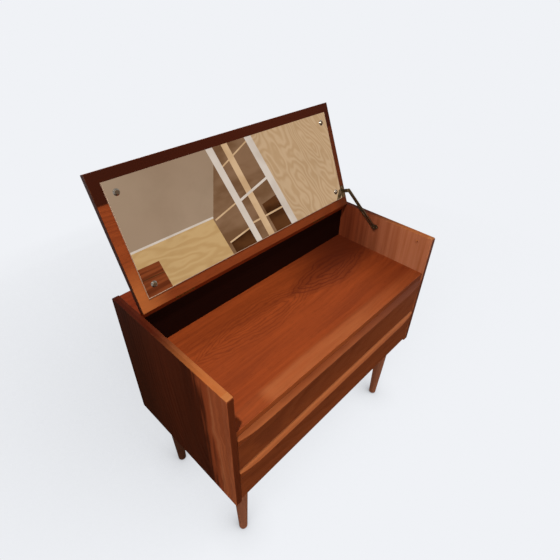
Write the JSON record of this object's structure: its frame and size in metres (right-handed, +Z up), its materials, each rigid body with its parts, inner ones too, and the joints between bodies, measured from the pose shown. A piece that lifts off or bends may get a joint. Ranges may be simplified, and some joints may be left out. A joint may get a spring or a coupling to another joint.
{
  "type": "vanity table with mirror",
  "caption": "Low teak dressing chest on turned tapered legs, with lipped drawers and a lift-up lid whose underside carries a mirror, held open by a slotted stay.",
  "frame": {"origin": "on the floor, under the middle of the whole object with its lid open", "axes": "+Z up, the drawers face -Y, +X to the right of someone who looks at the front"},
  "size_m": [0.84, 0.47, 1.0649],
  "materials": {
    "panel_teak": "oiled teak veneer, satin, grain upright",
    "lipping_teak": "solid teak lipping, oiled",
    "floor_teak": "oiled teak veneer with cathedral figure, grain left to right",
    "top_teak": "oiled teak veneer, grain left to right",
    "lid_teak": "oiled teak veneer, grain left to right",
    "front_teak": "solid teak with carved lips, oiled",
    "leg_teak": "turned solid teak, oiled",
    "drawer_wood": "plain pale hardwood, unfinished",
    "plywood": "thin plywood, unfinished",
    "back_board": "thin plywood, stained dark brown",
    "mirror": "silvered glass",
    "screw_chrome": "polished domed caps",
    "hinge_brass": "aged brass",
    "stay_brass": "dark aged brass"
  },
  "bodies": {
    "case": {"back_panel": "back_board", "bottom_board": "plywood", "compartment_back": "back_board", "compartment_floor": "floor_teak", "hinge_left_fixed_leaf": "hinge_brass", "hinge_left_pin": "hinge_brass", "hinge_right_fixed_leaf": "hinge_brass", "hinge_right_pin": "hinge_brass", "leg_front_left": "leg_teak", "leg_front_right": "leg_teak", "leg_rail_left": "drawer_wood", "leg_rail_right": "drawer_wood", "leg_rear_left": "leg_teak", "leg_rear_right": "leg_teak", "lid_peg_left": "lipping_teak", "lid_peg_right": "lipping_teak", "lower_runner_left": "drawer_wood", "lower_runner_right": "drawer_wood", "panel_lipping_left": "lipping_teak", "panel_lipping_right": "lipping_teak", "rear_top_strip": "top_teak", "side_panel_left": "panel_teak", "side_panel_right": "panel_teak", "stay_plate": "stay_brass", "upper_runner_left": "drawer_wood", "upper_runner_right": "drawer_wood"},
    "lid": {"lid": "lid_teak", "mirror_glass": "mirror", "mirror_screws": "screw_chrome", "hinge_left_lid_leaf": "hinge_brass", "hinge_right_lid_leaf": "hinge_brass", "stay_bracket": "stay_brass", "stay_rivet": "stay_brass"},
    "stay_arm": {"stay_arm": "stay_brass"},
    "upper_drawer": {"upper_drawer_front": "front_teak", "upper_drawer_side_left": "drawer_wood", "upper_drawer_side_right": "drawer_wood", "upper_drawer_back": "drawer_wood", "upper_drawer_bottom": "plywood"},
    "lower_drawer": {"lower_drawer_front": "front_teak", "lower_drawer_side_left": "drawer_wood", "lower_drawer_side_right": "drawer_wood", "lower_drawer_back": "drawer_wood", "lower_drawer_bottom": "plywood"}
  },
  "joints": [
    {"name": "lid_hinge", "type": "hinge", "parent": "case", "child": "lid", "pos_m": [0, 0.1081, 0.7495], "axis": [1, 0, 0], "range_deg": [0, 112.4]},
    {"name": "stay_pivot", "type": "hinge", "parent": "lid", "child": "stay_arm", "pos_m": [0.395, 0.08941, 0.80912], "axis": [1, 0, 0], "range_deg": [-155.14, 0]},
    {"name": "upper_drawer_slide", "type": "slide", "parent": "case", "child": "upper_drawer", "axis": [0, -1, 0], "range_m": [0, 0.3]},
    {"name": "lower_drawer_slide", "type": "slide", "parent": "case", "child": "lower_drawer", "axis": [0, -1, 0], "range_m": [0, 0.3]}
  ],
  "couplings": [
    {"joint": "stay_pivot", "follows": "lid_hinge", "ratio": -1.3758}
  ]
}
